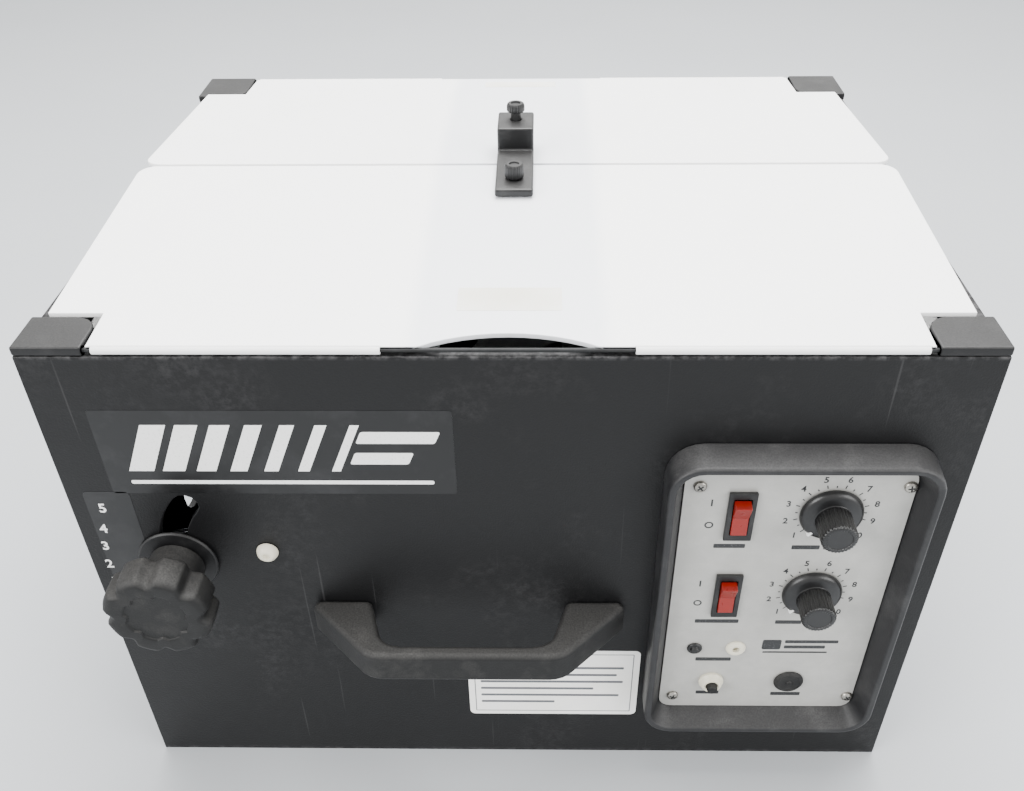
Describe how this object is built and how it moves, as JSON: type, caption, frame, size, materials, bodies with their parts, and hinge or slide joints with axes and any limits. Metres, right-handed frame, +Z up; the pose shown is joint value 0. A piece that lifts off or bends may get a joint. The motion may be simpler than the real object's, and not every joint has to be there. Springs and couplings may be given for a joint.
{
  "type": "tennis ball machine",
  "caption": "Portable ball thrower in a box case: folding hopper lid, rotating ball feeder, two counter-rotating throwing wheels, elevation clamp knob and a recessed control panel.",
  "frame": {"origin": "on the surface the machine stands on, at the middle of the base panel", "axes": "+Z up; X along the long side of the case, balls are thrown towards -X; the control panel, handle and elevation knob are on the wall at -Y"},
  "size_m": [0.47, 0.4191, 0.3582],
  "materials": {
    "case_black": "fine pebble texture, satin",
    "moulded_black": "satin moulded",
    "lid_white": "satin translucent",
    "steel": "zinc plated",
    "dark_steel": "satin",
    "panel_grey": "satin",
    "switch_red": "semi gloss",
    "nylon": "satin",
    "rubber_black": "matte",
    "board_green": "semi gloss",
    "battery_grey": "satin",
    "worn_black": "worn satin"
  },
  "bodies": {
    "case": {"case_front_panel": "case_black", "case_rear_panel": "case_black", "case_left_panel": "case_black", "case_right_panel": "case_black", "base_panel": "case_black", "front_left_gusset": "moulded_black", "front_right_gusset": "moulded_black", "rear_left_gusset": "moulded_black", "rear_right_gusset": "moulded_black", "hopper_tray": "moulded_black", "control_bezel": "moulded_black", "power_switch_body": "moulded_black", "sweep_switch_body": "moulded_black", "battery_strap": "steel", "speed_potentiometer": "steel", "feed_potentiometer": "steel", "front_hinge_rod": "dark_steel", "rear_hinge_rod": "dark_steel", "left_hinge_rod": "dark_steel", "right_hinge_rod": "dark_steel", "feed_gearmotor": "dark_steel", "charge_lamp": "dark_steel", "control_plate": "panel_grey", "front_pivot_bolt": "nylon", "rear_pivot_bolt": "nylon", "charge_jack": "nylon", "reset_breaker": "nylon", "remote_socket_plug": "rubber_black", "carry_handle": "worn_black", "control_board": "board_green", "battery": "battery_grey"},
    "near_flap": {"near_flap": "lid_white", "latch_bracket": "moulded_black", "latch_rivet": "moulded_black"},
    "rear_flap": {"rear_flap": "lid_white"},
    "left_wing": {"left_wing": "lid_white"},
    "right_wing": {"right_wing": "lid_white"},
    "latch_plunger": {"latch_plunger": "moulded_black"},
    "throwing_head": {"tilt_frame": "steel", "elevation_stud": "steel", "friction_washer": "moulded_black", "sweep_gearmotor": "dark_steel"},
    "elevation_knob": {"elevation_knob": "worn_black"},
    "sweep_carriage": {"sweep_carriage": "steel", "front_throw_motor": "dark_steel", "rear_throw_motor": "dark_steel"},
    "sweep_crank": {"sweep_crank": "steel"},
    "front_wheel": {"front_throw_wheel": "panel_grey", "front_wheel_tyre": "rubber_black"},
    "rear_wheel": {"rear_throw_wheel": "panel_grey", "rear_wheel_tyre": "rubber_black"},
    "ball_carousel": {"ball_carousel": "moulded_black"},
    "power_rocker": {"power_rocker": "switch_red"},
    "sweep_rocker": {"sweep_rocker": "switch_red"},
    "speed_dial": {"speed_dial": "moulded_black"},
    "feed_dial": {"feed_dial": "moulded_black"},
    "reset_button": {"reset_button": "rubber_black"}
  },
  "joints": [
    {"name": "near_flap_hinge", "type": "hinge", "parent": "case", "child": "near_flap", "pos_m": [0, -0.1828, 0.3165], "axis": [1, 0, 0], "range_deg": [0, 105]},
    {"name": "rear_flap_hinge", "type": "hinge", "parent": "case", "child": "rear_flap", "pos_m": [0, 0.1828, 0.3165], "axis": [-1, 0, 0], "range_deg": [0, 105]},
    {"name": "left_wing_hinge", "type": "hinge", "parent": "case", "child": "left_wing", "pos_m": [-0.2263, 0, 0.288], "axis": [0, -1, 0], "range_deg": [0, 98]},
    {"name": "right_wing_hinge", "type": "hinge", "parent": "case", "child": "right_wing", "pos_m": [0.2263, 0, 0.288], "axis": [0, 1, 0], "range_deg": [0, 98]},
    {"name": "latch_plunger_slide", "type": "slide", "parent": "near_flap", "child": "latch_plunger", "axis": [0, 0, 1], "range_m": [-0.0045, 0]},
    {"name": "elevation_tilt", "type": "hinge", "parent": "case", "child": "throwing_head", "pos_m": [-0.1348, 0, 0.1857], "axis": [0, 1, 0], "range_deg": [0, 46]},
    {"name": "elevation_knob_turn", "type": "hinge", "parent": "throwing_head", "child": "elevation_knob", "pos_m": [-0.1853, -0.2, 0.1786], "axis": [0, -1, 0], "continuous": true},
    {"name": "sweep_swing", "type": "hinge", "parent": "throwing_head", "child": "sweep_carriage", "pos_m": [-0.0228, 0, 0.157], "axis": [0, 0, 1], "range_deg": [-7, 7]},
    {"name": "sweep_crank_turn", "type": "hinge", "parent": "throwing_head", "child": "sweep_crank", "pos_m": [-0.0228, 0.06, 0.152], "axis": [0, 0, 1], "range_deg": [-90, 90]},
    {"name": "front_wheel_spin", "type": "hinge", "parent": "sweep_carriage", "child": "front_wheel", "pos_m": [-0.1148, -0.078, 0.1357], "axis": [0, 0, 1], "continuous": true},
    {"name": "rear_wheel_spin", "type": "hinge", "parent": "sweep_carriage", "child": "rear_wheel", "pos_m": [-0.1148, 0.078, 0.1357], "axis": [0, 0, 1], "continuous": true},
    {"name": "carousel_turn", "type": "hinge", "parent": "case", "child": "ball_carousel", "pos_m": [-0.035, 0, 0.224], "axis": [0, 0, 1], "continuous": true},
    {"name": "power_rocker_tilt", "type": "hinge", "parent": "case", "child": "power_rocker", "pos_m": [0.1198, -0.1909, 0.2181], "axis": [-1, 0, 0], "range_deg": [0, 20]},
    {"name": "sweep_rocker_tilt", "type": "hinge", "parent": "case", "child": "sweep_rocker", "pos_m": [0.1198, -0.1909, 0.1576], "axis": [-1, 0, 0], "range_deg": [0, 20]},
    {"name": "speed_dial_turn", "type": "hinge", "parent": "case", "child": "speed_dial", "pos_m": [0.1668, -0.2, 0.2199], "axis": [0, 1, 0], "range_deg": [0, 272]},
    {"name": "feed_dial_turn", "type": "hinge", "parent": "case", "child": "feed_dial", "pos_m": [0.1668, -0.2, 0.1597], "axis": [0, 1, 0], "range_deg": [0, 272]},
    {"name": "reset_button_press", "type": "slide", "parent": "case", "child": "reset_button", "axis": [0, 1, 0], "range_m": [0, 0.003], "stiffness_N_per_m": 300}
  ],
  "couplings": [
    {"joint": "rear_flap_hinge", "follows": "near_flap_hinge", "ratio": 1},
    {"joint": "left_wing_hinge", "follows": "near_flap_hinge", "ratio": 0.93},
    {"joint": "right_wing_hinge", "follows": "near_flap_hinge", "ratio": 0.93},
    {"joint": "sweep_crank_turn", "follows": "sweep_swing", "ratio": 12.857},
    {"joint": "rear_wheel_spin", "follows": "front_wheel_spin", "ratio": -1}
  ]
}
